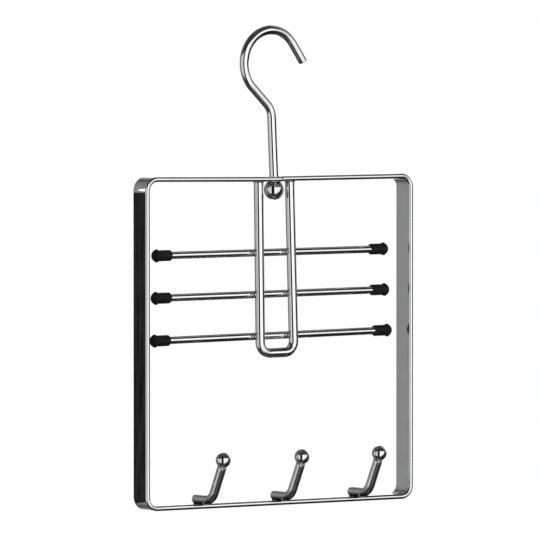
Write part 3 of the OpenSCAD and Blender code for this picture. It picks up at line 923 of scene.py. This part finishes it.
def calc(tree, operation, a, b=None, c=None):
    # one sum of up to three values, each a number or another node's output
    node = addNode(tree, "ShaderNodeMath", operation=operation)
    for slotIndex, value in enumerate((a, b, c)):
        if value is None:
            continue
        if isinstance(value, (int, float)):
            node.inputs[slotIndex].default_value = value
        else:
            tree.links.new(value, node.inputs[slotIndex])
    return node.outputs[0]


def softStep(tree, value, soft):
    # 0 below -soft, 1 above +soft and smooth between
    ranged = addNode(tree, "ShaderNodeMapRange", interpolation_type="SMOOTHSTEP")
    ranged.inputs["From Min"].default_value = -soft
    ranged.inputs["From Max"].default_value = soft
    tree.links.new(value, ranged.inputs["Value"])
    return ranged.outputs["Result"]


def dotWith(tree, vector, way):
    # how far a direction goes along another
    node = addNode(tree, "ShaderNodeVectorMath", operation="DOT_PRODUCT")
    node.inputs[1].default_value = way
    tree.links.new(vector, node.inputs[0])
    return node.outputs["Value"]


def acrossPanel(tree, turn, panel, key):
    # a value that runs evenly from the panel's first side to its second
    first, last = panel[key]
    perDegree = (last - first) / (panel["to"] - panel["from"])
    return calc(tree, "MULTIPLY_ADD", turn, perDegree, first - perDegree * panel["from"])


def addPanel(tree, level, turn, rise, panel):
    # level + mask * (panel's level - level), where the mask is the product of its four soft edges
    edges = [
        calc(tree, "SUBTRACT", turn, float(panel["from"])),
        calc(tree, "SUBTRACT", float(panel["to"]), turn),
        calc(tree, "SUBTRACT", rise, acrossPanel(tree, turn, panel, "low")),
        calc(tree, "SUBTRACT", acrossPanel(tree, turn, panel, "high"), rise),
    ]
    sides, low, high = panel["soft"]
    mask = 1.0
    for edge, soft in zip(edges, (sides, sides, low, high)):
        mask = calc(tree, "MULTIPLY", softStep(tree, edge, soft), mask)
    own = acrossPanel(tree, turn, panel, "level")
    return calc(tree, "MULTIPLY_ADD", calc(tree, "SUBTRACT", own, level), mask, level)


def makeStudio(look):
    # level by direction: a dim ceiling and ground, panels over them, plain light on matt surfaces
    # and white for the camera
    world = bpy.data.worlds.new("studio")
    scene.world = world
    world.use_nodes = True
    world.cycles.sampling_method = "NONE"
    tree = world.node_tree
    way = addNode(tree, "ShaderNodeTexCoord").outputs["Generated"]
    toCamera = Vector((-ahead[0], -ahead[1], 0)).normalized()
    toRight = dotWith(tree, way, aside)
    toFront = dotWith(tree, way, toCamera)
    turn = calc(tree, "MULTIPLY", calc(tree, "ARCTAN2", toRight, toFront), 180 / math.pi)
    rise = calc(tree, "MULTIPLY", calc(tree, "ARCSINE", dotWith(tree, way, (0, 0, 1))), 180 / math.pi)
    upward = [calc(tree, "MULTIPLY_ADD", rise, (look[k][1] - look[k][0]) / span, look[k][0])
              for k, span in (("ground", -90), ("ceiling", 90))]
    above = softStep(tree, rise, look["horizonSoft"])
    level = calc(tree, "MULTIPLY_ADD", calc(tree, "SUBTRACT", upward[1], upward[0]), above, upward[0])
    for panel in studioPanels.values():
        level = addPanel(tree, level, turn, rise, panel)
    ray = addNode(tree, "ShaderNodeLightPath")
    toPlain = calc(tree, "SUBTRACT", look["diffuse"], level)
    matt = calc(tree, "MULTIPLY_ADD", toPlain, ray.outputs["Is Diffuse Ray"], level)
    toWhite = calc(tree, "SUBTRACT", 1.0, matt)
    seen = calc(tree, "MULTIPLY_ADD", toWhite, ray.outputs["Is Camera Ray"], matt)
    background = tree.nodes["Background"]
    background.inputs["Color"].default_value = (1, 1, 1, 1)
    tree.links.new(seen, background.inputs["Strength"])


def plainFinish(name, look):
    # matt paint
    finish, tree, shader = newFinish(name)
    shader.inputs["Base Color"].default_value = (*look["floorColour"], 1)
    shader.inputs["Roughness"].default_value = look["floorRough"]
    shader.inputs["Specular IOR Level"].default_value = 0.0
    return finish


def stageMesh(name, points, faces, finish):
    # a thing of the studio, not of the hanger
    mesh = bpy.data.meshes.new(name)
    mesh.from_pydata(points, [], faces)
    mesh.materials.append(finish)
    thing = bpy.data.objects.new(name, mesh)
    scene.collection.objects.link(thing)
    return thing


def makeFloor(look):
    # a round sheet: radius * (cos, sin)
    a = circleAngles(96)
    wide = look["floorWide"]
    rim = np.stack([wide * np.cos(a), wide * np.sin(a), 0 * a - look["floorDrop"]], -1)
    floor = stageMesh("floor", rim.tolist(), [list(range(96))], plainFinish("floorPaint", look))
    floor.visible_glossy = False
    return floor


def makeCard(name, card):
    # a card that only reflections see; where its level is a range, fine upright streaks run through it
    points = [(x * millimetre, cardsLook["y"] * millimetre, z * millimetre) for x, z in card["outline"]]
    finish, tree, shader = newFinish(name + "Cloth")
    shader.inputs["Base Color"].default_value = (0, 0, 0, 1)
    shader.inputs["Specular IOR Level"].default_value = 0.0
    shader.inputs["Emission Color"].default_value = (1, 1, 1, 1)
    low, high = card["level"]
    if low == high:
        shader.inputs["Emission Strength"].default_value = low
    else:
        streaks = grainNoise(tree, scaledPlace(tree, placeSource(tree, False), cardsLook["streakScale"]))
        tree.links.new(between(tree, streaks, low, high), shader.inputs["Emission Strength"])
    sheet = stageMesh(name, points, [list(range(len(points)))], finish)
    sheet.visible_camera = sheet.visible_diffuse = sheet.visible_shadow = sheet.visible_transmission = False
    return sheet


def makeLamp(look):
    # a wide soft disk that looks at the hanger's middle
    data = bpy.data.lights.new("softLamp", "AREA")
    data.shape, data.size, data.energy = "DISK", look["lampWide"], look["lampPower"]
    lamp = bpy.data.objects.new("softLamp", data)
    scene.collection.objects.link(lamp)
    place, aim = Vector(look["lampPlace"]), Vector(look["lampAim"])
    turned = (aim - place).to_track_quat("-Z", "Y").to_matrix().to_4x4()
    lamp.matrix_world = Matrix.Translation(place) @ turned
    lamp.visible_glossy = False
    lamp.visible_camera = False


makeStudio(studioLook)
makeFloor(studioLook)
for name, card in cardsLook["cards"].items():
    makeCard(name, card)
makeLamp(studioLook)
print("studio made")
